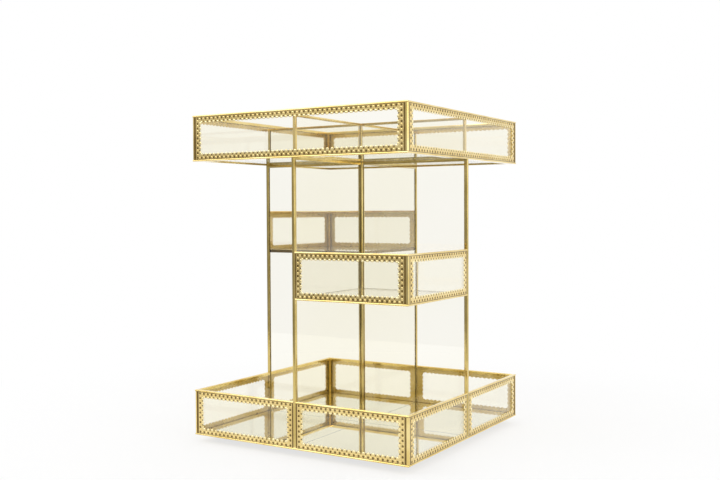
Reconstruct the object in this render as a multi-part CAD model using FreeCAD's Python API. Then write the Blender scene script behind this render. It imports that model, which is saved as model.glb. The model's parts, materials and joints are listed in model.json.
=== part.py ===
import FreeCAD, Part
import math
import os
from FreeCAD import Vector

# Rotating makeup organizer: brass-framed glass trays on a low roller turntable.
# Millimetres, +Z up. The origin is on the table, under the middle of the organizer.
# The front is -Y, the right side is +X. Heights in a tray count from its own underside.

# ---- driving dimensions: overall ----
side = 300.0                # outer width of the square base tray and top tray
tray_height = 56.0          # underside to rim of every tray
top_level = 336.5           # underside of the top tray above the underside of the base tray
front_level = 173.0         # underside of the front tray, measured the same way
rear_level = 219.5          # underside of the rear tray, measured the same way

# ---- driving dimensions: glass and brass sheet ----
glass = 2.5                 # every pane and floor
sheet = 0.6                 # channels and lace
lace_set_back = 0.2         # the lace lies this far behind the proud beads

# ---- driving dimensions: tray frames ----
bead = 2.2                  # height of the rolled bead along rims and bottom edges
channel_leg = 1.6           # how far a channel grips a pane beyond the bead
ledge = 5.5                 # ledge inside the bottom rail that carries the floor
web = 1.2                   # thickness of that ledge and of the rail under the pane
corner_bead = 2.8           # width of the proud bead on a corner post, on each face
corner_round = 2.0          # rounding of that bead

# ---- driving dimensions: lace ----
lace_band = 7.4             # rim to the valleys between the picots, bead included
lace_side_band = 7.2        # width of the plain bands beside the uprights
picot_height = 1.7
picot_pitch = 8.0           # wanted spacing; each pane takes the nearest whole number

# ---- driving dimensions: tower ----
side_post_width = 3.8       # width of a side post on the face
side_slot = 2.0             # how far a partition enters a side post
centre_post_size = 7.4      # width of the square centre post
centre_slot = 1.95          # how far a partition enters the centre post
bar_height = 2.4            # cross bars under the top tray

# ---- driving dimensions: cross divider in the top tray ----
divider_drop = 6.0          # its top edge lies this far below the rim
divider_channel = 3.0       # channel along its top and its ends
divider_hub = 5.5           # width of the square upright in its middle

# ---- driving dimensions: turntable ----
track_radius = 74.0         # circle of the rollers
track_width = 22.0          # radial width of the lower track
track_sheet = 1.2           # pressed sheet of both tracks
lip_overlap = 0.7           # the upper track's lip reaches this far below the lower track's top
roller_radius = 2.55
roller_length = 8.0
roller_count = 6
cage_width = 14.0           # radial width of the roller cage
cage_height = 2.0
pad_size = 12.0             # square foam pads that bond the upper track to the mirror
pad_height = 1.0
pad_count = 6
foot_size = 12.0            # square rubber feet
foot_height = 1.5
foot_taper = 1.0            # a foot is this much smaller all round at the table
foot_count = 4

# ---- clearances ----
corner_groove = 2.2         # corner bead to the lace
post_groove = 1.2           # side post to the lace
floor_gap = 0.3             # floor pane to the frame round it
roller_gap = 0.1            # roller to either track
window_gap = 0.12           # roller to its window in the cage
lip_gap = 0.4               # lower track to the lip round it

# ---- worked out: walls, seen as a depth inward from the outer face ----
half = side / 2
leg_out = lace_set_back + sheet             # outer face of a channel
glass_out = leg_out + sheet                 # outer face of a pane
glass_in = glass_out + glass                # inner face of a pane
wall = glass_in + sheet                     # whole wall
channel_width = glass + 2 * sheet
leg_top = bead + channel_leg                # reach of a channel from the edge of a tray
floor_top = web + glass
bead_radius = bead / 2
# height at which a channel's outer face runs into the bead below it
bead_meet = bead_radius + math.sqrt(bead_radius ** 2 - (bead_radius - leg_out) ** 2)
pane_reach = half - wall                    # a pane's end at a corner post
lace_reach = half - corner_bead - corner_groove
post_half = side_post_width / 2
post_edge = post_half + post_groove         # the lace's end beside a side post
centre_half = centre_post_size / 2
hub_half = divider_hub / 2

# ---- worked out: turntable, heights above the table ----
lower_plate_top = foot_height + track_sheet
roller_level = lower_plate_top + roller_gap + roller_radius
upper_plate_low = roller_level + roller_radius + roller_gap
upper_plate_top = upper_plate_low + track_sheet
mirror_underside = upper_plate_top + pad_height
lift = mirror_underside - web               # underside of the base tray
track_in = track_radius - track_width / 2
track_out = track_radius + track_width / 2

SIDES = ["front", "right", "rear", "left"]
UP = Vector(0, 0, 1)
MIDDLE = Vector(0, 0, 0)
SAME_POINT = 0.001


# ---- small tools ----

def box(x0, y0, z0, x1, y1, z1):
    return Part.makeBox(x1 - x0, y1 - y0, z1 - z0, Vector(x0, y0, z0))


def face_of(points):
    """Flat face round its corner points; ("arc", middle, end) draws an arc from the last point."""
    edges = []
    here = points[0]
    for step in points[1:] + [points[0]]:
        if isinstance(step, tuple):
            edges.append(Part.Arc(here, step[1], step[2]).toShape())
            here = step[2]
        elif not here.isEqual(step, SAME_POINT):
            edges.append(Part.makeLine(here, step))
            here = step
    return Part.Face(Part.Wire(edges))


def spun(shape, degrees):
    copy = shape.copy()
    copy.rotate(MIDDLE, UP, degrees)
    return copy


def turned(shape, quarters):
    """The shape moved from the front wall to another wall, by quarter turns."""
    return spun(shape, 90 * quarters)


def around(count, shape):
    """Copies of a shape, evenly spaced about the middle."""
    return [spun(shape, 360 * index / count) for index in range(count)]


def raised(shape, height):
    copy = shape.copy()
    copy.translate(Vector(0, 0, height))
    return copy


def joined(shapes):
    return shapes[0].multiFuse(shapes[1:]).removeSplitter()


def at(depth, z):
    """Point of a section across the front wall."""
    return Vector(0, depth - half, z)


# ---- tray frames ----

def bottom_rail_section():
    """Channel with a rolled bead outside and a ledge inside for the floor."""
    r = bead_radius
    return face_of([
        at(r, 0), at(wall + ledge, 0), at(wall + ledge, web), at(wall, web), at(wall, leg_top),
        at(glass_in, leg_top), at(glass_in, web), at(glass_out, web), at(glass_out, leg_top),
        at(leg_out, leg_top), at(leg_out, bead_meet),
        ("arc", at(0, r), at(r, 0)),
    ])


def rim_section():
    """Channel over the top of a pane, with a rolled bead outside and a bevelled inner edge."""
    r = bead_radius
    top = tray_height
    foot = top - leg_top
    slot = top - bead
    return face_of([
        at(leg_out, top - bead_meet), at(leg_out, foot), at(glass_out, foot), at(glass_out, slot),
        at(glass_in, slot), at(glass_in, foot), at(wall, foot), at(wall, top - r),
        at(wall - r, top), at(r, top),
        ("arc", at(0, top - r), at(leg_out, top - bead_meet)),
    ])


def wall_run(section, start, end):
    """A section drawn along the front wall, mitred where it reaches a corner of the square."""
    run = section.extrude(Vector(end - start, 0, 0))
    run.translate(Vector(start, 0, 0))
    corner_to_corner = face_of([Vector(-half, -half, 0), Vector(half, -half, 0), MIDDLE])
    return run.common(corner_to_corner.extrude(Vector(0, 0, tray_height)))


def corner_post():
    """Upright in the corner between the front and the right wall, gripping both panes.

    A proud bead stands on the corner, with a groove beside it on each face."""
    far = wall + channel_leg
    r = corner_round
    bow = r * (1 - math.sqrt(0.5))

    def plan(along, depth):
        return Vector(half - along, depth - half, bead)

    bead_outline = face_of([
        plan(r, 0), plan(corner_bead, 0), plan(corner_bead, corner_bead), plan(0, corner_bead),
        plan(0, r), ("arc", plan(bow, bow), plan(r, 0)),
    ])
    core = face_of([plan(leg_out, leg_out), plan(wall, leg_out), plan(wall, wall), plan(leg_out, wall)])
    outlines = [bead_outline, core]
    for near in (leg_out, glass_in):
        inner = near + sheet
        outlines.append(face_of([plan(near, near), plan(far, near), plan(far, inner),
                                 plan(inner, inner), plan(inner, far), plan(near, far)]))
    height = tray_height - 2 * bead
    return joined([outline.extrude(Vector(0, 0, height)) for outline in outlines])


def square_frame():
    """Bottom rail, four corner posts and rim of a full-size tray."""
    rail = wall_run(bottom_rail_section(), -half, half)
    rim = wall_run(rim_section(), -half, half)
    return joined([piece for shape in (rail, rim, corner_post()) for piece in around(4, shape)])


def side_post_space(low):
    """Room that the front side post takes in a tray's wall."""
    return box(-post_half, -half, low, post_half, wall - half, tray_height)


def quarter_frame():
    """Frame of a tray in the front right quarter.

    Rail and rim on the two outer walls, one corner post, and plain inner rails along the partitions."""
    pieces = [corner_post()]
    for section in (bottom_rail_section(), rim_section()):
        pieces.append(wall_run(section, post_half, half))
        pieces.append(turned(wall_run(section, -half, -post_half), 1))
    near = glass / 2
    lip = near + sheet
    for height, inner in ((web, lip + ledge), (leg_top, lip)):
        plan = [Vector(near, -near, 0), Vector(near, -pane_reach, 0), Vector(inner, -pane_reach, 0),
                Vector(inner, -inner, 0), Vector(pane_reach, -inner, 0), Vector(pane_reach, -near, 0)]
        pieces.append(face_of(plan).extrude(Vector(0, 0, height)))
    whole = joined(pieces)
    whole = whole.cut(box(-centre_half, -centre_half, 0, centre_half, centre_half, tray_height))
    whole = whole.cut(side_post_space(0)).cut(turned(side_post_space(0), 1))
    return whole.removeSplitter()


# ---- panes, floors and lace ----

def wall_pane(start, end):
    """Pane of the front wall, standing in the bottom rail and reaching into the rim."""
    return box(start, glass_out - half, web, end, glass_in - half, tray_height - bead)


def square_floor():
    reach = pane_reach - floor_gap
    return box(-reach, -reach, web, reach, reach, floor_top)


def quarter_floor():
    """Floor of a quarter tray, with its inner corner cut back round the centre post."""
    near = glass / 2 + sheet + floor_gap
    far = pane_reach - floor_gap
    notch = centre_half + floor_gap
    return box(near, -far, web, far, -near, floor_top).cut(box(0, -notch, web, notch, 0, floor_top))


def lace_frame(start, end):
    """Stamped lace round one pane of the front wall.

    A flat band, plain along the uprights and edged with picots along the top and the bottom."""
    left = start + lace_side_band
    right = end - lace_side_band
    front = lace_set_back - half
    count = max(1, round((right - left) / picot_pitch))
    pitch = (right - left) / count
    outline = []
    for first, step, valley, tip in (
        (left, pitch, lace_band, lace_band + picot_height),
        (right, -pitch, tray_height - lace_band, tray_height - lace_band - picot_height),
    ):
        outline.append(Vector(first, front, valley))
        for picot in range(count):
            outline.append(Vector(first + (picot + 0.5) * step, front, tip))
            outline.append(Vector(first + (picot + 1) * step, front, valley))
    opening = face_of(outline).extrude(Vector(0, sheet, 0))
    return box(start, front, bead, end, front + sheet, tray_height - bead).cut(opening)


# ---- sub-assemblies: each gives its pieces by name ----

def turntable():
    """Lower track on rubber feet, rollers in a cage, and a lipped upper track under the mirror."""
    foot_low = foot_size - 2 * foot_taper
    outlines = []
    for size, z in ((foot_low, 0), (foot_size, foot_height)):
        reach = size / 2
        corners = [Vector(track_radius + x * reach, y * reach, z)
                   for x, y in ((-1, -1), (1, -1), (1, 1), (-1, 1), (-1, -1))]
        outlines.append(Part.makePolygon(corners))
    foot = Part.makeLoft(outlines, True, True)

    def ring(points):
        section = face_of([Vector(radius, 0, z) for radius, z in points])
        return section.revolve(MIDDLE, UP, 360)

    lip_in = track_out + lip_gap
    lip_out = lip_in + track_sheet
    lip_low = lower_plate_top - lip_overlap
    lower = ring([(track_in, foot_height), (track_out, foot_height),
                  (track_out, lower_plate_top), (track_in, lower_plate_top)])
    upper = ring([(track_in, upper_plate_low), (lip_in, upper_plate_low), (lip_in, lip_low),
                  (lip_out, lip_low), (lip_out, upper_plate_top), (track_in, upper_plate_top)])

    roller = Part.makeCylinder(roller_radius, roller_length,
                               Vector(track_radius - roller_length / 2, 0, roller_level), Vector(1, 0, 0))
    cage_in = track_radius - cage_width / 2
    cage_out = track_radius + cage_width / 2
    cage_low = roller_level - cage_height / 2
    cage_top = roller_level + cage_height / 2
    cage = ring([(cage_in, cage_low), (cage_out, cage_low), (cage_out, cage_top), (cage_in, cage_top)])
    along = roller_length / 2 + window_gap
    across = roller_radius + window_gap
    window = box(track_radius - along, -across, cage_low, track_radius + along, across, cage_top)
    cage = cage.cut(Part.makeCompound(around(roller_count, window)))

    reach = pad_size / 2
    pad = box(track_radius - reach, -reach, upper_plate_top, track_radius + reach, reach, mirror_underside)
    return {
        "rubber_feet": Part.makeCompound(around(foot_count, foot)),
        "lower_track": lower,
        "upper_track": upper,
        "track_rollers": Part.makeCompound(around(roller_count, roller)),
        "roller_cage": cage,
        "foam_pads": Part.makeCompound(around(pad_count, pad)),
    }


def base_tray():
    """Full-size tray with a mirror floor; a side post divides each wall into two panes."""
    frame = square_frame().cut(Part.makeCompound(around(4, side_post_space(leg_top))))
    pieces = {"base_frame": frame, "base_mirror": square_floor()}
    for quarter, name in enumerate(SIDES):
        pieces["base_pane_" + name + "_left"] = turned(wall_pane(-pane_reach, -post_half), quarter)
        pieces["base_pane_" + name + "_right"] = turned(wall_pane(post_half, pane_reach), quarter)
        pieces["base_lace_" + name + "_left"] = turned(lace_frame(-lace_reach, -post_edge), quarter)
        pieces["base_lace_" + name + "_right"] = turned(lace_frame(post_edge, lace_reach), quarter)
    return pieces


def quarter_tray(name, quarters):
    """Tray in one quarter, drawn in the front right quarter and turned to its place."""
    pieces = {
        "frame": quarter_frame(),
        "floor": quarter_floor(),
        "pane_left": wall_pane(post_half, pane_reach),
        "pane_right": turned(wall_pane(-pane_reach, -post_half), 1),
        "lace_left": lace_frame(post_edge, lace_reach),
        "lace_right": turned(lace_frame(-lace_reach, -post_edge), 1),
    }
    return {name + "_" + piece: turned(shape, quarters) for piece, shape in pieces.items()}


def top_tray():
    """Full-size tray with one pane to each wall and a cross strip under its floor."""
    strip = box(-channel_width / 2, -pane_reach, 0, channel_width / 2, pane_reach, web)
    pieces = {"top_frame": joined([square_frame(), strip, turned(strip, 1)]), "top_floor": square_floor()}
    for quarter, name in enumerate(SIDES):
        pieces["top_pane_" + name] = turned(wall_pane(-pane_reach, pane_reach), quarter)
        pieces["top_lace_" + name] = turned(lace_frame(-lace_reach, lace_reach), quarter)
    return pieces


def divider():
    """Cross divider standing on the top tray's floor: four small panes edged with channel."""
    start = wall - half
    top = tray_height - divider_drop
    edge = channel_width / 2
    pane = box(-glass / 2, start + sheet, floor_top, glass / 2, -hub_half, top - sheet)
    cap = box(-edge, start, top - divider_channel, edge, -hub_half, top)
    end = box(-edge, start, floor_top, edge, start + divider_channel, top)
    hub = box(-hub_half, -hub_half, floor_top, hub_half, hub_half, top)
    frame = joined([hub] + around(4, cap.fuse(end).cut(pane)))
    return {"divider_frame": frame, "divider_panes": Part.makeCompound(around(4, pane))}


def tower():
    """Side posts, slotted centre post, glass partitions and the cross of channels above them."""
    under_bar = top_level - bar_height
    slot_start = wall - side_slot - half
    slot_end = centre_slot - centre_half

    side_post = box(-post_half, -half, leg_top, post_half, wall - half, top_level)
    side_post = side_post.cut(box(-glass / 2, slot_start, leg_top, glass / 2, wall - half, top_level))

    centre_post = box(-centre_half, -centre_half, floor_top, centre_half, centre_half, under_bar)
    slot = box(-glass / 2, -centre_half, floor_top, glass / 2, slot_end, under_bar)
    centre_post = centre_post.cut(Part.makeCompound(around(4, slot)))

    in_bar = box(-glass / 2, wall - half, under_bar, glass / 2, -centre_half, top_level - web)
    partition = box(-glass / 2, slot_start, floor_top, glass / 2, slot_end, under_bar).fuse(in_bar)
    over_rail = box(-glass / 2, -half, 0, glass / 2, wall - half, leg_top)
    partition = partition.cut(over_rail).removeSplitter()

    arm = box(-channel_width / 2, wall - half, under_bar, channel_width / 2, -centre_half, top_level)
    hub = box(-centre_half, -centre_half, under_bar, centre_half, centre_half, top_level)
    cross = joined([hub] + around(4, arm.cut(in_bar)))

    pieces = {"centre_post": centre_post, "cross_bars": cross}
    for quarter, name in enumerate(SIDES):
        pieces["side_post_" + name] = turned(side_post, quarter)
        pieces["partition_" + name] = turned(partition, quarter)
    return pieces


# ---- the whole organizer ----
nodes = turntable()
for pieces, level in (
    (base_tray(), 0),
    (tower(), 0),
    (quarter_tray("front_tray", 0), front_level),
    (quarter_tray("rear_tray", 2), rear_level),
    (top_tray(), top_level),
    (divider(), top_level),
):
    for name, shape in pieces.items():
        nodes[name] = raised(shape, lift + level)

os.makedirs("parts", exist_ok=True)
for name, shape in nodes.items():
    shape.exportStep("parts/" + name + ".step")
    if not shape.isValid():
        print("not valid:", name)
print(len(nodes), "nodes, underside of the base tray at", lift)
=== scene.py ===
import json
import math

import bmesh
import bpy
from mathutils import Matrix, Vector


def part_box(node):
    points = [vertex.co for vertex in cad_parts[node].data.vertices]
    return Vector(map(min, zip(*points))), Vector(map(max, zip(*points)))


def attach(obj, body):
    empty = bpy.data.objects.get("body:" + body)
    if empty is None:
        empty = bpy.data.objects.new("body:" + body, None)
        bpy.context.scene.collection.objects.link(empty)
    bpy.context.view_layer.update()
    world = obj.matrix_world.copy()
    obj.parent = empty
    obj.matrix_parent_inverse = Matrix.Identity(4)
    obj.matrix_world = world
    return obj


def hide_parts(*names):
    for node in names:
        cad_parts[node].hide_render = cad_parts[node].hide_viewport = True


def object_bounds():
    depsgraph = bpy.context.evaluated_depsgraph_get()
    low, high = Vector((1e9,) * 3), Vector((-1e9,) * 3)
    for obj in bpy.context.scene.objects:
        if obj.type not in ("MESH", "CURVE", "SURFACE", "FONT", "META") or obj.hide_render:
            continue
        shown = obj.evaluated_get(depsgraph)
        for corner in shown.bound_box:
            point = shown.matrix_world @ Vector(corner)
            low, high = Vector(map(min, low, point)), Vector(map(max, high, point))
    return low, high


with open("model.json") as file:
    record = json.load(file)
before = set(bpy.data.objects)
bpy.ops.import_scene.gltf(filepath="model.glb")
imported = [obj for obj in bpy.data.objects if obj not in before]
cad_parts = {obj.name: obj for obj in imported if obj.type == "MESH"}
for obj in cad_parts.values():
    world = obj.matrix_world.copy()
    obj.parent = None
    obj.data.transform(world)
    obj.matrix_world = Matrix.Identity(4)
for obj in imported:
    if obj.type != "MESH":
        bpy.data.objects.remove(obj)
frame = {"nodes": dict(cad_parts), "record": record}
cad_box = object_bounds()

# Looks of the rotating makeup organizer: brass-framed glass trays on a low turntable.
# Metres, in the frame's axes: the front is -Y, the right side is +X.
# Lace sizes are in millimetres until the mesh is placed.

MM = 0.001

# ---- lace strips, in millimetres; a reach counts inward from the line of holes ----
HOLE_PITCH = 6.27           # wanted spacing of the pierced holes
HOLE_RADIUS = 1.4
HOLE_STEPS = 14
HOLE_LINE_SIDE = 2.9        # line of holes to the strip's outer edge, beside the uprights
HOLE_LINE_LEVEL = 2.1       # the same along the top and the bottom, where the bead covers the rest
CELL_REACH = 0.1            # raised cells between the holes
CELL_SIZE = (1.5, 1.25)     # half width along the strip, half width across it
LOBE_REACH = 4.0            # the lobes of the inner edge, one at each hole
LOBE_SIZE = (2.3, 1.4)
LOBE_STEPS = 10
SLIT_REACH = 3.1            # bottoms of the slits between the lobes
SLIT_STEPS = 4
PEARL_REACH = 4.2           # pearls on the lobes
PEARL_SIZE = (1.75, 1.1)
RELIEF = 0.45               # height of the cells and pearls
DOME_FOOT = 0.08            # they reach this far into the strip
DOME_RINGS = 3
DOME_STEPS = 12
PLATE_DEPTH = 0.5           # face of the strip behind the outermost face of the tray
PLATE_THICKNESS = 0.24
PLATE_BEVEL = 0.05
# the dark backing is a sheet of painted shade, with some tarnish, behind the holes, slits and
# grooves
BACKING_DEPTH = 0.75        # dark backing in the holes and grooves
BACKING_THICKNESS = 0.05
BACKING_REACH = 4.3         # the backing ends here, under the lobes
# the backing shows through this gap as a line of painted shade
EDGE_LINE = 0.5             # dark line left between the strip and the bead
BEAD_WIDTH = 2.8            # proud bead of the corner posts, as in the frame
POST_HALF = 1.9             # half of a side post, as in the frame
CORNER_REACH = 20.0         # a strip that ends nearer than this to a corner ends at its post


# ================================================================ materials

def add(tree, kind, inputs=None, **settings):
    """A shader node with its settings and the values or links of its inputs."""
    node = tree.nodes.new("ShaderNode" + kind)
    for name, value in settings.items():
        setattr(node, name, value)
    for name, value in (inputs or {}).items():
        if isinstance(value, bpy.types.NodeSocket):
            tree.links.new(value, node.inputs[name])
        else:
            node.inputs[name].default_value = value
    return node


def ramp(tree, factor, stops):
    """Colour ramp with stops of (position, colour)."""
    node = add(tree, "ValToRGB", {"Fac": factor})
    elements = node.color_ramp.elements
    while len(elements) < len(stops):
        elements.new(0.5)
    for element, (position, colour) in zip(elements, stops):
        element.position = position
        element.color = (*colour, 1)
    return node.outputs["Color"]


def mix(tree, factor, first, second, blend="MIX"):
    """Mix of two colours, each a link or its plain red, green and blue."""
    first, second = ((*colour, 1) if isinstance(colour, tuple) else colour
                     for colour in (first, second))
    return add(tree, "Mix", {0: factor, 6: first, 7: second},
               data_type="RGBA", blend_type=blend).outputs[2]


def math_node(tree, operation, first, second):
    return add(tree, "Math", {0: first, 1: second}, operation=operation).outputs[0]


def grey(value):
    return (value, value, value)


def noise(tree, scale, detail=2.0):
    """Noise over the piece, with about so many patches to a metre."""
    place = add(tree, "TexCoord").outputs["Object"]
    return add(tree, "TexNoise", {"Vector": place, "Scale": scale, "Detail": detail}).outputs["Fac"]


def new_material(name, **values):
    """Material with one Principled shader and its constant values."""
    material = bpy.data.materials.new(name)
    material.use_nodes = True
    tree = material.node_tree
    shader = tree.nodes["Principled BSDF"]
    for key, value in values.items():
        shader.inputs[key.replace("_", " ")].default_value = value
    return material, tree, shader


def bump(tree, shader, height, strength, distance):
    """Fine relief on the shader, its height in metres."""
    node = add(tree, "Bump", {"Height": height, "Strength": strength, "Distance": distance})
    tree.links.new(node.outputs["Normal"], shader.inputs["Normal"])


def brass(name, light, deep, smooth, rough, tarnish_and_shade=None, crease=0.0):
    """Polished and lacquered brass: two close golds, rubbing marks, and a tarnished brown in its
    creases that paints shade there as well: it darkens wherever ambient occlusion finds other
    surfaces near, the glass too.

    The roughness runs from smooth to rough; crease is the width in metres that counts as one."""
    material, tree, shader = new_material(name, Metallic=1.0, Coat_Weight=0.7, Coat_Roughness=0.06)
    colour = ramp(tree, noise(tree, 28.0, 3.0), [(0.35, deep), (0.65, light)])
    # painted shade with tarnished brown: ambient occlusion darkens the brass in creases, grooves,
    # under the lace and along the glass
    if tarnish_and_shade:
        open_sky = add(tree, "AmbientOcclusion", {"Distance": crease}, samples=6).outputs["AO"]
        unoccluded = ramp(tree, open_sky, [(0.25, grey(0.0)), (0.8, grey(1.0))])
        colour = mix(tree, unoccluded, tarnish_and_shade, colour)
    tree.links.new(colour, shader.inputs["Base Color"])
    marks = ramp(tree, noise(tree, 160.0, 4.0), [(0.3, grey(smooth)), (0.7, grey(rough))])
    tree.links.new(marks, shader.inputs["Roughness"])
    bump(tree, shader, noise(tree, 420.0, 2.0), 0.12, 0.0002)
    return material


def clear_glass(name, tint, deep_tint, wave):
    """Clear soda glass with a slight tint, a faint film of smears and nearly flat faces.

    It lets the lamps' light through straight, so that it casts a faint shadow only."""
    material, tree, shader = new_material(name, Transmission_Weight=1.0, IOR=1.5)
    colour = ramp(tree, noise(tree, 9.0, 2.0), [(0.3, deep_tint), (0.7, tint)])
    tree.links.new(colour, shader.inputs["Base Color"])
    film = ramp(tree, noise(tree, 30.0, 3.0), [(0.45, grey(0.0)), (0.8, grey(0.05))])
    tree.links.new(film, shader.inputs["Roughness"])
    bump(tree, shader, noise(tree, 11.0, 1.0), wave, 0.0004)
    clear = add(tree, "BsdfTransparent", {"Color": (*tint, 1)}).outputs["BSDF"]
    lamp_ray = add(tree, "LightPath").outputs["Is Shadow Ray"]
    mixed = add(tree, "MixShader", {0: lamp_ray, 1: shader.outputs["BSDF"], 2: clear})
    tree.links.new(mixed.outputs["Shader"], tree.nodes["Material Output"].inputs["Surface"])
    return material


def silvered_mirror():
    """Silvered glass, slightly grey, with a faint film; its back has grey protective paint."""
    material, tree, shader = new_material("silvered_mirror")
    facing = add(tree, "SeparateXYZ", {0: add(tree, "TexCoord").outputs["Normal"]}).outputs["Z"]
    front = math_node(tree, "GREATER_THAN", facing, -0.5)
    tint = ramp(tree, noise(tree, 14.0, 2.0),
                [(0.3, (0.76, 0.76, 0.71)), (0.7, (0.83, 0.83, 0.78))])
    paint = ramp(tree, noise(tree, 70.0, 3.0),
                 [(0.3, (0.26, 0.27, 0.27)), (0.7, (0.33, 0.34, 0.34))])
    tree.links.new(mix(tree, front, paint, tint), shader.inputs["Base Color"])
    film = ramp(tree, noise(tree, 40.0, 3.0), [(0.4, grey(0.01)), (0.8, grey(0.06))])
    tree.links.new(mix(tree, front, grey(0.6), film), shader.inputs["Roughness"])
    tree.links.new(front, shader.inputs["Metallic"])
    return material


def satin_sheet():
    """Pressed aluminium with the fine rings that turning leaves."""
    material, tree, shader = new_material("satin_aluminium", Metallic=1.0)
    place = add(tree, "TexCoord").outputs["Object"]
    rings = add(tree, "TexWave", {"Vector": place, "Scale": 300.0, "Distortion": 0.6},
                wave_type="RINGS", rings_direction="Z").outputs["Fac"]
    tone = ramp(tree, rings, [(0.0, (0.70, 0.71, 0.72)), (1.0, (0.80, 0.81, 0.82))])
    tree.links.new(tone, shader.inputs["Base Color"])
    rubbed = ramp(tree, rings, [(0.0, grey(0.32)), (1.0, grey(0.42))])
    tree.links.new(rubbed, shader.inputs["Roughness"])
    bump(tree, shader, rings, 0.1, 0.0001)
    return material


def moulded(name, light, deep, rough, grain):
    """Moulded plastic, rubber or foam: two close tones and a fine grain."""
    material, tree, shader = new_material(name)
    tone = ramp(tree, noise(tree, 60.0, 3.0), [(0.35, deep), (0.65, light)])
    tree.links.new(tone, shader.inputs["Base Color"])
    fine = noise(tree, grain)
    uneven = ramp(tree, fine, [(0.3, grey(rough)), (0.7, grey(rough + 0.15))])
    tree.links.new(uneven, shader.inputs["Roughness"])
    bump(tree, shader, fine, 0.3, 0.0003)
    return material


# tarnished brown for the creases; laid on by ambient occlusion, it is painted shade as well as
# patina
TARNISH_AND_SHADE = (0.26, 0.17, 0.035)
frame_brass = brass("frame_brass", (0.93, 0.75, 0.33), (0.78, 0.57, 0.17), 0.07, 0.16,
                    TARNISH_AND_SHADE, 0.0007)
# darker copy of the frame brass for the posts and bars: painted shade, the metal itself is the same
post_brass = brass("post_brass", (0.73, 0.56, 0.20), (0.58, 0.43, 0.12), 0.07, 0.16,
                   TARNISH_AND_SHADE, 0.0007)
lace_brass = brass("lace_brass", (0.91, 0.72, 0.31), (0.80, 0.60, 0.22), 0.20, 0.34,
                   TARNISH_AND_SHADE, 0.0009)
# lighter brass on the pearls: polished high spots, and a painted highlight on them as well
pearl_highlight_brass = brass("pearl_highlight_brass", (0.98, 0.87, 0.52), (0.93, 0.78, 0.40), 0.10, 0.20)
lace_reverse = brass("lace_reverse", (0.84, 0.66, 0.29), (0.72, 0.53, 0.19), 0.24, 0.38)
# dark brass on the backing sheet seen through the lace's holes, slits and grooves: painted shade,
# with some tarnish
shade_and_tarnish_brass = brass("shade_and_tarnish_brass", (0.26, 0.17, 0.04), (0.17, 0.105, 0.02), 0.35, 0.55)
LACE_MATERIALS = [lace_brass, pearl_highlight_brass, shade_and_tarnish_brass, lace_reverse]
PLATE, PEARLS, HOLLOW_SHADE, REVERSE = range(4)      # their places in that list
pane_glass = clear_glass("pane_glass", (0.985, 0.970, 0.905), (0.975, 0.960, 0.885), 0.05)
MATERIALS = {
    "brass": frame_brass,
    "pane": pane_glass,
    "mirror": silvered_mirror(),
    "rubber": moulded("black_rubber", (0.035, 0.035, 0.035), (0.022, 0.022, 0.022), 0.65, 900.0),
    "track": satin_sheet(),
    "roller": moulded("white_nylon", (0.86, 0.86, 0.83), (0.80, 0.80, 0.77), 0.35, 500.0),
    "cage": moulded("black_nylon", (0.045, 0.045, 0.047), (0.030, 0.030, 0.032), 0.42, 500.0),
    "foam": moulded("grey_foam", (0.20, 0.20, 0.21), (0.15, 0.15, 0.16), 0.85, 1400.0),
}

slot_of = {part["node"]: part["material_slot"] for part in frame["record"]["subparts"]}
lace_nodes = [name for name in sorted(slot_of) if slot_of[name] == "lace"]
for name, piece in frame["nodes"].items():
    if name not in lace_nodes:
        for slot in piece.material_slots:
            slot.material = MATERIALS[slot_of[name]]


# ================================================================ lace

def ring(x, y, radius, steps):
    """Points round a circle."""
    angles = [2 * math.pi * step / steps for step in range(steps)]
    return [(x + radius * math.cos(angle), y + radius * math.sin(angle)) for angle in angles]


def rectangle(x0, y0, x1, y1):
    return [(x0, y0), (x1, y0), (x1, y1), (x0, y1)]


def filled(name, splines, front, back, bevel):
    """Flat filled shape between two depths, from closed outlines, with bevelled edges."""
    curve = bpy.data.curves.new(name, "CURVE")
    curve.dimensions = "2D"
    curve.fill_mode = "BOTH"
    for points in splines:
        spline = curve.splines.new("POLY")
        spline.points.add(len(points) - 1)
        for point, (x, y) in zip(spline.points, points):
            point.co = (x, y, 0, 1)
        spline.use_cyclic_u = True
    curve.extrude = (back - front) / 2 - bevel
    curve.bevel_depth = bevel
    curve.offset = -bevel
    curve.bevel_resolution = 0
    holder = bpy.data.objects.new(name, curve)
    mesh = bpy.data.meshes.new_from_object(holder)
    mesh.transform(Matrix.Translation((0, 0, -(front + back) / 2)))
    bpy.data.objects.remove(holder)
    bpy.data.curves.remove(curve)
    return mesh


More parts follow.
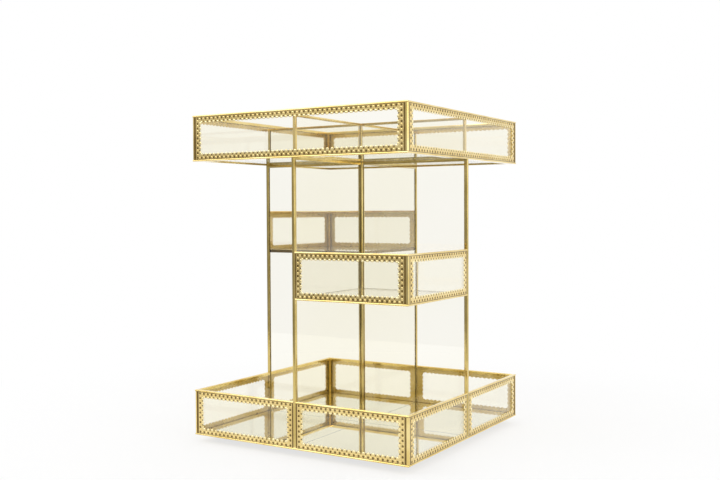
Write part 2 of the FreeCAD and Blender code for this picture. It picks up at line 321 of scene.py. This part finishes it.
def domes(name, places, size):
    """Low oval domes set into the strip; a place is a centre and the way along the strip."""
    vertices = []
    faces = []
    for (x, y), (along_x, along_y) in places:
        first = len(vertices)
        vertices.append((x, y, RELIEF - PLATE_DEPTH))
        for level in range(1, DOME_RINGS + 2):
            slope = min(level / DOME_RINGS, 1) * math.pi / 2
            lift = RELIEF * math.cos(slope) - PLATE_DEPTH
            if level > DOME_RINGS:
                lift -= DOME_FOOT
            for step in range(DOME_STEPS):
                angle = 2 * math.pi * step / DOME_STEPS
                along = size[0] * math.sin(slope) * math.cos(angle)
                across = size[1] * math.sin(slope) * math.sin(angle)
                vertices.append((x + along * along_x - across * along_y,
                                 y + along * along_y + across * along_x, lift))
        for step in range(DOME_STEPS):
            after = (step + 1) % DOME_STEPS
            faces.append((first, first + 1 + step, first + 1 + after))
            for level in range(DOME_RINGS):
                inner = first + 1 + level * DOME_STEPS
                outer = inner + DOME_STEPS
                faces.append((inner + step, outer + step, outer + after, inner + after))
        foot = first + 1 + DOME_RINGS * DOME_STEPS
        faces.append([foot + DOME_STEPS - 1 - step for step in range(DOME_STEPS)])
    mesh = bpy.data.meshes.new(name)
    mesh.from_pydata(vertices, [], faces)
    mesh.polygons.foreach_set("use_smooth", [True] * len(faces))
    return mesh


def lobe_mitre(step, next_step):
    """Degrees of its arch at which a corner lobe meets the next strip's, from both pitches."""
    for angle in range(90, 180):
        along = step + LOBE_SIZE[0] * math.cos(math.radians(angle))
        reach = LOBE_REACH + LOBE_SIZE[1] * math.sin(math.radians(angle))
        if math.hypot((along - LOBE_REACH) / LOBE_SIZE[1], (reach - next_step) / LOBE_SIZE[0]) < 1:
            return angle - 1
    return 180


def lace_parts(width, height, left_groove, right_groove):
    """Lace round one pane, seen from outside, with its lower left corner at the origin.

    The dark backing, a sheet of painted shade with some tarnish, also covers the grooves of the
    given widths left and right of it."""
    left = HOLE_LINE_SIDE
    right = width - HOLE_LINE_SIDE
    low = HOLE_LINE_LEVEL
    high = height - HOLE_LINE_LEVEL
    across = round((right - left) / HOLE_PITCH)
    up = round((high - low) / HOLE_PITCH)
    step_across = (right - left) / across
    step_up = (high - low) / up
    # each strip: its first hole, the way along it, inward, its number of pitches,
    # its pitch and that of the next strip
    strips = [
        ((left, low), (1, 0), (0, 1), across, step_across, step_up),
        ((right, low), (0, 1), (-1, 0), up, step_up, step_across),
        ((right, high), (-1, 0), (0, -1), across, step_across, step_up),
        ((left, high), (0, -1), (1, 0), up, step_up, step_across),
    ]
    holes = []
    inner_edge = []
    cells = []
    pearls = []
    for first, along, inward, count, step, next_step in strips:
        mitre = lobe_mitre(step, next_step)
        slit_half = step / 2 - LOBE_SIZE[0]

        def spot(index, reach):
            return (first[0] + along[0] * step * index + inward[0] * reach,
                    first[1] + along[1] * step * index + inward[1] * reach)

        def bow(index, reach, size, start, end, steps):
            """Part of an oval about a place on the strip, angles in degrees."""
            points = []
            for part in range(steps + 1):
                angle = math.radians(start + (end - start) * part / steps)
                points.append(spot(index + size[0] * math.cos(angle) / step,
                                   reach + size[1] * math.sin(angle)))
            return points

        for index in range(count):
            holes.append(ring(*spot(index, 0), HOLE_RADIUS, HOLE_STEPS))
            cells.append((spot(index + 0.5, CELL_REACH), along))
        for index in range(1, count):
            start = 180 if index > 1 else mitre
            end = 0 if index < count - 1 else 180 - mitre
            inner_edge += bow(index, LOBE_REACH, LOBE_SIZE, start, end, LOBE_STEPS)
            if index < count - 1:
                slit = (slit_half, slit_half)
                inner_edge += bow(index + 0.5, SLIT_REACH, slit, 180, 360, SLIT_STEPS)
            pearls.append((spot(index, PEARL_REACH), along))
    plate_back = PLATE_DEPTH + PLATE_THICKNESS
    outer_edge = rectangle(EDGE_LINE, EDGE_LINE, width - EDGE_LINE, height - EDGE_LINE)
    plate = filled("plate", [outer_edge, inner_edge] + holes, PLATE_DEPTH, plate_back, PLATE_BEVEL)
    window = rectangle(left + BACKING_REACH, low + BACKING_REACH,
                       right - BACKING_REACH, high - BACKING_REACH)
    backing = filled("backing", [rectangle(-left_groove, 0, width + right_groove, height), window],
                     BACKING_DEPTH, BACKING_DEPTH + BACKING_THICKNESS, 0.0)
    return [
        (plate, [REVERSE if face.normal.z < -0.5 else PLATE for face in plate.polygons]),
        (backing, [HOLLOW_SHADE if face.normal.z > 0.5 else REVERSE for face in backing.polygons]),
        (domes("cells", cells, CELL_SIZE), PLATE),
        (domes("pearls", pearls, PEARL_SIZE), PEARLS),
    ]


def joined_mesh(name, parts):
    """One mesh from several, each with one material or a list with the material of every face."""
    vertices = []
    faces = []
    smooth = []
    material = []
    for mesh, given in parts:
        first = len(vertices)
        vertices += [tuple(vertex.co) for vertex in mesh.vertices]
        for polygon in mesh.polygons:
            faces.append([first + corner for corner in polygon.vertices])
            smooth.append(polygon.use_smooth)
        material += given if isinstance(given, list) else [given] * len(mesh.polygons)
        bpy.data.meshes.remove(mesh)
    made = bpy.data.meshes.new(name)
    made.from_pydata(vertices, [], faces)
    made.polygons.foreach_set("use_smooth", smooth)
    made.polygons.foreach_set("material_index", material)
    return made


def wall_turn(low, high):
    """Quarter turns from the front wall to the wall that this box lies in."""
    centre = (low + high) / 2
    if high.y - low.y < high.x - low.x:
        return 0 if centre.y < 0 else 2
    return 1 if centre.x > 0 else 3


def groove(end):
    """Width of the groove between a strip and the post beside it; the end is its place in x."""
    to_corner = outer_half / MM - abs(end)
    return to_corner - BEAD_WIDTH if to_corner < CORNER_REACH else abs(end) - POST_HALF


outer_half = cad_box[1].x
upright = Matrix.Rotation(math.pi / 2, 4, "X")
made_lace = {}
for name in lace_nodes:
    low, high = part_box(name)
    turn = Matrix.Rotation(wall_turn(low, high) * math.pi / 2, 4, "Z")
    ends = [(turn.inverted() @ corner).x / MM for corner in (low, high)]
    start, end = min(ends), max(ends)
    height = (high.z - low.z) / MM
    sizes = (end - start, height, groove(start), groove(end))
    key = tuple(round(size, 2) for size in sizes)
    if key not in made_lace:
        made_lace[key] = joined_mesh("lace", lace_parts(*sizes))
    mesh = made_lace[key].copy()
    place = Matrix.Translation((start * MM, -outer_half, low.z))
    mesh.transform(turn @ place @ upright @ Matrix.Scale(MM, 4))
    piece = bpy.data.objects.new(name.replace("_lace_", "_gallery_"), mesh)
    bpy.context.scene.collection.objects.link(piece)
    for material in LACE_MATERIALS:
        mesh.materials.append(material)
    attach(piece, "organizer")
    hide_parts(name)


# ================================================================ posts, bars and panes

SAME_PLACE = 0.00005        # an edge nearer than this to a corner is the one at it
SAME_POINT = 0.000001       # points nearer than this are merged
FLAT = math.radians(1)      # faces that meet flatter than this are one
SHARP = math.radians(40)    # edges sharper than this are bevelled
CREASE = math.radians(25)   # and those that stay sharp in a rounded piece
POST_ROUND = 0.0009         # outer corners of the posts
EDGE_SOFTNESS = 0.00012     # all other edges of posts and bars
GLASS_ARRIS = 0.00025       # ground edges of the panes
GLASS_GAP = 0.00004         # a pane stands this far clear of the brass that holds it


def shape_of(node):
    """The node's own shape as a bmesh, with its flat faces whole."""
    shape = bmesh.new()
    shape.from_mesh(frame["nodes"][node].data)
    bmesh.ops.remove_doubles(shape, verts=shape.verts, dist=SAME_POINT)
    bmesh.ops.dissolve_limit(shape, angle_limit=FLAT, verts=shape.verts, edges=shape.edges)
    return shape


def bevel(shape, edges, width, segments):
    bmesh.ops.bevel(shape, geom=edges, offset=width, offset_type="OFFSET", segments=segments,
                    profile=0.5, affect="EDGES", clamp_overlap=True)


def sharp_edges(shape):
    return [edge for edge in shape.edges if edge.calc_face_angle(0) > SHARP]


def finish_piece(shape, node, name, material, rounded):
    """Makes the shape the piece that replaces the node, with rounded or dead flat faces."""
    bmesh.ops.dissolve_degenerate(shape, dist=SAME_POINT, edges=shape.edges)
    mesh = bpy.data.meshes.new(name)
    shape.to_mesh(mesh)
    shape.free()
    if rounded:
        mesh.shade_smooth()
        mesh.set_sharp_from_angle(angle=CREASE)
    else:
        mesh.shade_flat()
    mesh.materials.append(material)
    piece = bpy.data.objects.new(name, mesh)
    bpy.context.scene.collection.objects.link(piece)
    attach(piece, "organizer")
    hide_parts(node)


def brass_channel(node, material, corners=()):
    """A post or bar with rounded upright corners at the given places and softened other edges."""
    shape = shape_of(node)

    def upright_corner(edge):
        one, other = (vertex.co.xy for vertex in edge.verts)
        if (one - other).length > SAME_PLACE:
            return False
        return any((one - Vector(corner)).length < SAME_PLACE for corner in corners)

    bevel(shape, [edge for edge in shape.edges if upright_corner(edge)],
          POST_ROUND, segments=5)
    bevel(shape, sharp_edges(shape), EDGE_SOFTNESS, segments=2)
    finish_piece(shape, node, node + "_brass", material, rounded=True)


def glass_pane(node):
    """A pane with ground edges, a hair clear of its channels."""
    shape = shape_of(node)
    for vertex in shape.verts:
        inward = Vector()
        for normal in {face.normal.to_tuple(3) for face in vertex.link_faces}:
            inward -= Vector(normal)
        vertex.co += inward * GLASS_GAP
    bevel(shape, sharp_edges(shape), GLASS_ARRIS, segments=1)
    finish_piece(shape, node, node + "_glass", pane_glass, rounded=False)


for name in sorted(slot_of):
    low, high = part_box(name)
    around = [(x, y) for x in (low.x, high.x) for y in (low.y, high.y)]
    if slot_of[name] == "pane":
        glass_pane(name)
    elif name.startswith("side_post_"):
        outer = [(x, y) for x, y in around if max(abs(x), abs(y)) > outer_half - SAME_PLACE]
        brass_channel(name, post_brass, outer)
    elif name == "centre_post":
        brass_channel(name, post_brass, around)
    elif name == "cross_bars":
        brass_channel(name, post_brass)
    elif name == "divider_frame":
        brass_channel(name, frame_brass)


# ================================================================ floor, light and camera

# dark screens round the object, each with its direction and the cosines between which it darkens
DARK_SCREENS = [((0.0, -1.0, 0.0), 0.35, 0.75), ((-1.0, 0.0, 0.0), 0.55, 0.9)]
SCREEN_SHADE = 0.4
BACKDROP = (-0.52, 0.85, 0.0)   # towards the white backdrop behind the object
WHITE = grey(1.0)
BLACK = grey(0.0)
FLOOR_HALF = 0.75
FLOOR_GREY = 0.92
FADE = (0.25, 0.7)              # the floor turns white between these distances from the middle
FADE_START = 0.72               # how white it is up to there
LAMP_AIM = (0, 0, 0.2)
GLASS_BOUNCES = 24              # a view through the whole tower passes many faces of glass
SHADOW_BOUNCES = 32             # and so does the lamps' light


def seen_rays(tree):
    """1 for what the camera sees, also in metal and through glass, and 0 for what lights."""
    path = add(tree, "LightPath").outputs
    seen = math_node(tree, "MAXIMUM", path["Is Camera Ray"], path["Is Glossy Ray"])
    return math_node(tree, "MAXIMUM", seen, path["Is Transmission Ray"])


def studio_floor():
    """Pale floor that fades to white away from the object and keeps its shadow."""
    mesh = bpy.data.meshes.new("floor")
    corners = rectangle(-FLOOR_HALF, -FLOOR_HALF, FLOOR_HALF, FLOOR_HALF)
    mesh.from_pydata([(x, y, 0) for x, y in corners], [], [(0, 1, 2, 3)])
    floor = bpy.data.objects.new("floor", mesh)
    bpy.context.scene.collection.objects.link(floor)
    material, tree, shader = new_material("pale_floor", Roughness=0.9)
    shader.inputs["Base Color"].default_value = (*grey(FLOOR_GREY), 1)
    shader.inputs["Specular IOR Level"].default_value = 0.0
    place = add(tree, "TexCoord").outputs["Object"]
    away = add(tree, "VectorMath", {0: place}, operation="LENGTH").outputs["Value"]
    fade = add(tree, "MapRange", {"Value": away, "From Min": FADE[0], "From Max": FADE[1],
                                  "To Min": FADE_START, "To Max": 1.0},
               interpolation_type="SMOOTHSTEP").outputs["Result"]
    white = add(tree, "Emission", {"Color": (*WHITE, 1), "Strength": 1.0}).outputs["Emission"]
    share = math_node(tree, "MULTIPLY", seen_rays(tree), fade)
    mixed = add(tree, "MixShader", {0: share, 1: shader.outputs["BSDF"], 2: white})
    tree.links.new(mixed.outputs["Shader"], tree.nodes["Material Output"].inputs["Surface"])
    mesh.materials.append(material)


def studio_world():
    """White for what the camera sees, screens in reflections, and the light of a soft grey room.

    Reflections are white above the screens and towards the backdrop."""
    world = bpy.data.worlds.new("studio")
    bpy.context.scene.world = world
    world.use_nodes = True
    tree = world.node_tree
    tree.nodes.clear()
    way = add(tree, "TexCoord").outputs["Generated"]
    # 0 straight below, 1 straight above
    height = add(tree, "MapRange", {"Value": add(tree, "SeparateXYZ", {0: way}).outputs["Z"],
                                    "From Min": -1.0, "From Max": 1.0}).outputs["Result"]

    def facing(direction):
        return add(tree, "VectorMath", {0: way, 1: direction},
                   operation="DOT_PRODUCT").outputs["Value"]

    screens = WHITE
    for direction, start, end in DARK_SCREENS:
        shade = ramp(tree, facing(direction), [(start, WHITE), (end, grey(SCREEN_SHADE))])
        screens = mix(tree, 1.0, screens, shade, "MULTIPLY")
    above = ramp(tree, height, [(0.51, BLACK), (0.59, WHITE)])
    behind = ramp(tree, facing(BACKDROP), [(0.75, BLACK), (0.9, WHITE)])
    reflected = mix(tree, math_node(tree, "MAXIMUM", above, behind), screens, WHITE)
    # a ray that has met no metal or mirror yet sees plain white
    bounces = add(tree, "LightPath").outputs["Glossy Depth"]
    shown = mix(tree, math_node(tree, "GREATER_THAN", bounces, 0.5), WHITE, reflected)
    room = ramp(tree, height, [(0.4, grey(0.45)), (0.7, grey(0.65))])
    lit, viewed = (add(tree, "Background", {"Color": colour, "Strength": 1.0}).outputs["Background"]
                   for colour in (room, shown))
    mixed = add(tree, "MixShader", {0: seen_rays(tree), 1: lit, 2: viewed}).outputs["Shader"]
    tree.links.new(mixed, add(tree, "OutputWorld").inputs["Surface"])


def soft_lamp(name, place, size, power):
    """Area lamp of the given watts, aimed at the middle of the object."""
    lamp = bpy.data.lights.new(name, "AREA")
    lamp.shape = "RECTANGLE"
    lamp.size, lamp.size_y = size
    lamp.energy = power
    holder = bpy.data.objects.new(name, lamp)
    holder.location = place
    holder.rotation_mode = "QUATERNION"
    holder.rotation_quaternion = (Vector(LAMP_AIM) - Vector(place)).to_track_quat("-Z", "Y")
    bpy.context.scene.collection.objects.link(holder)


def photo_camera():
    """Camera at the photograph's viewing angle, fitted to the corners of the object in it."""
    azimuth = math.radians(31.49)
    elevation = math.radians(1.74)
    roll = math.radians(-0.262)
    distance = 1.2108
    aim_height = 0.24705
    aim_aside = -0.00165
    right = Vector((math.cos(azimuth), math.sin(azimuth), 0))
    back = Vector((math.sin(azimuth) * math.cos(elevation),
                   -math.cos(azimuth) * math.cos(elevation), math.sin(elevation)))
    up = back.cross(right)
    x_axis = right * math.cos(roll) + up * math.sin(roll)
    y_axis = up * math.cos(roll) - right * math.sin(roll)
    place = right * aim_aside + Vector((0, 0, aim_height)) + back * distance
    camera = bpy.data.cameras.new("camera")
    camera.lens = 47.28
    camera.sensor_width = 36.0
    camera.clip_start = 0.01
    camera.clip_end = 50.0
    holder = bpy.data.objects.new("camera", camera)
    rotation = Matrix((x_axis, y_axis, back)).transposed().to_4x4()
    holder.matrix_world = Matrix.Translation(place) @ rotation
    bpy.context.scene.collection.objects.link(holder)
    bpy.context.scene.camera = holder


studio_floor()
studio_world()
soft_lamp("key", (-0.9, -1.3, 1.5), (1.2, 0.9), 11.0)
soft_lamp("fill", (1.6, -0.6, 0.8), (0.9, 1.2), 6.0)
soft_lamp("top", (0.1, 0.3, 1.9), (1.4, 1.4), 9.0)
photo_camera()

scene = bpy.context.scene
scene.view_settings.view_transform = "Standard"
scene.cycles.max_bounces = GLASS_BOUNCES
scene.cycles.transmission_bounces = GLASS_BOUNCES
scene.cycles.transparent_max_bounces = SHADOW_BOUNCES
